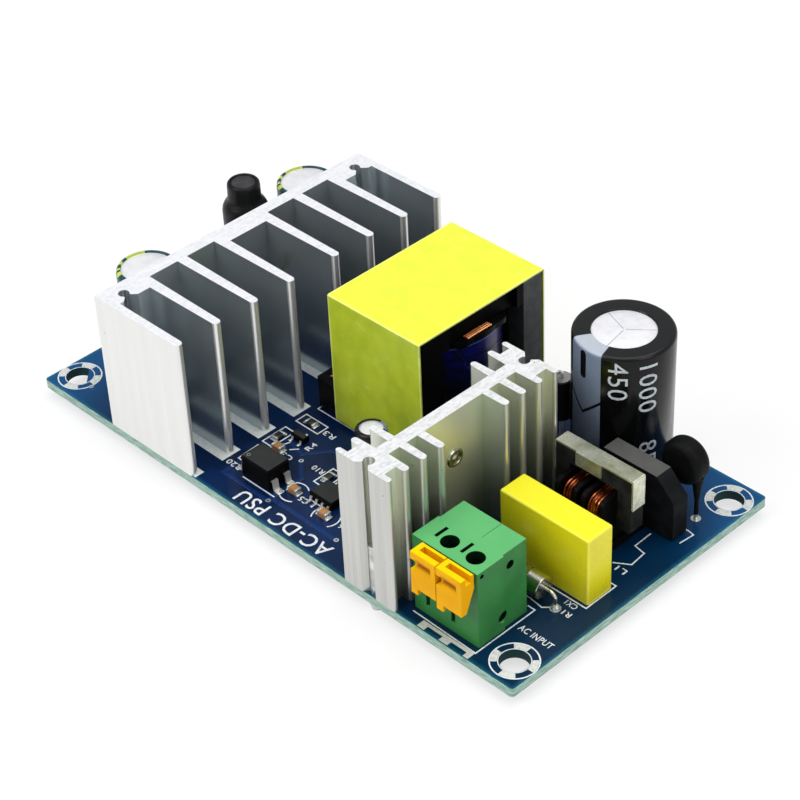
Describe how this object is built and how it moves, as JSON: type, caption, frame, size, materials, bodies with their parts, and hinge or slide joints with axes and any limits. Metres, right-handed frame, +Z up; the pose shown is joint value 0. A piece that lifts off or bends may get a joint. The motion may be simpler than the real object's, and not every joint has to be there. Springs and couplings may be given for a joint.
{
  "type": "open frame power supply",
  "caption": "Open-frame AC-DC power supply board with lever mains terminal, taped transformer, bulk capacitor and finned heatsinks, fixed at four corner holes",
  "frame": {"origin": "centre of the four fixing holes, on the underside of the board", "axes": "+X along the board towards the mains end, +Y across the board away from the mains terminal, +Z up out of the component side"},
  "size_m": [0.107, 0.0571, 0.0288],
  "materials": {
    "board_blue": "solder mask, satin",
    "solder": "bright solder",
    "heatsink_aluminium": "extruded, sawn ends",
    "tinned_steel": "tinned",
    "black_moulding": "moulded epoxy",
    "screw_steel": "zinc plated",
    "ferrite": "sintered, matt",
    "winding_tape_blue": "polyester tape",
    "tape_yellow": "polyester tape",
    "sleeve_black": "shrink sleeve",
    "sleeve_teal": "shrink sleeve",
    "shrink_sleeve_black": "shrink sleeve",
    "case_yellow": "moulded case",
    "fuse_glass": "clear",
    "plated_cap": "nickel plated",
    "copper_wire": "enamelled wire",
    "coating_black": "dipped coating",
    "terminal_green": "moulded nylon",
    "lever_orange": "moulded nylon",
    "tinned_brass": "tinned",
    "header_white": "moulded nylon",
    "chip_black": "moulded epoxy",
    "chip_tan": "ceramic"
  },
  "bodies": {
    "board": {"circuit_board": "board_blue", "solder_joints": "solder", "output_heatsink": "heatsink_aluminium", "output_heatsink_pins": "tinned_steel", "primary_heatsink": "heatsink_aluminium", "primary_heatsink_pins": "tinned_steel", "switching_transistor": "black_moulding", "output_rectifier": "black_moulding", "clamp_screws": "screw_steel", "transformer_upper_core": "ferrite", "transformer_lower_core": "ferrite", "transformer_bobbin": "black_moulding", "transformer_pins": "tinned_steel", "transformer_winding": "winding_tape_blue", "transformer_tape": "tape_yellow", "bulk_capacitor": "sleeve_black", "output_capacitor_1": "sleeve_teal", "output_capacitor_2": "sleeve_teal", "bias_capacitor": "sleeve_black", "output_choke": "shrink_sleeve_black", "interference_capacitor": "case_yellow", "fuse_tube": "fuse_glass", "fuse_caps": "plated_cap", "fuse_wire": "tinned_steel", "filter_core_left": "ferrite", "filter_core_right": "ferrite", "filter_bobbin": "black_moulding", "filter_windings": "copper_wire", "filter_pins": "tinned_steel", "filter_clamp": "plated_cap", "bridge_rectifier": "black_moulding", "thermistor": "coating_black", "terminal_housing": "terminal_green", "terminal_contacts": "tinned_brass", "output_header": "header_white", "output_header_pins": "tinned_brass", "snubber_diode": "black_moulding", "optocoupler": "chip_black", "controller_chip": "chip_black", "shunt_regulator": "chip_black", "chip_resistors": "chip_black", "chip_capacitors": "chip_tan"},
    "lever_1": {"terminal_lever_1": "lever_orange"},
    "lever_2": {"terminal_lever_2": "lever_orange"}
  },
  "joints": [
    {"name": "lever_1_hinge", "type": "hinge", "parent": "board", "child": "lever_1", "pos_m": [0.03415, -0.0246, 0.0136], "axis": [1, 0, 0], "range_deg": [0, 16], "stiffness_Nm_per_rad": 0.02, "springref_deg": -11.46},
    {"name": "lever_2_hinge", "type": "hinge", "parent": "board", "child": "lever_2", "pos_m": [0.03923, -0.0246, 0.0136], "axis": [1, 0, 0], "range_deg": [0, 16], "stiffness_Nm_per_rad": 0.02, "springref_deg": -11.46}
  ]
}
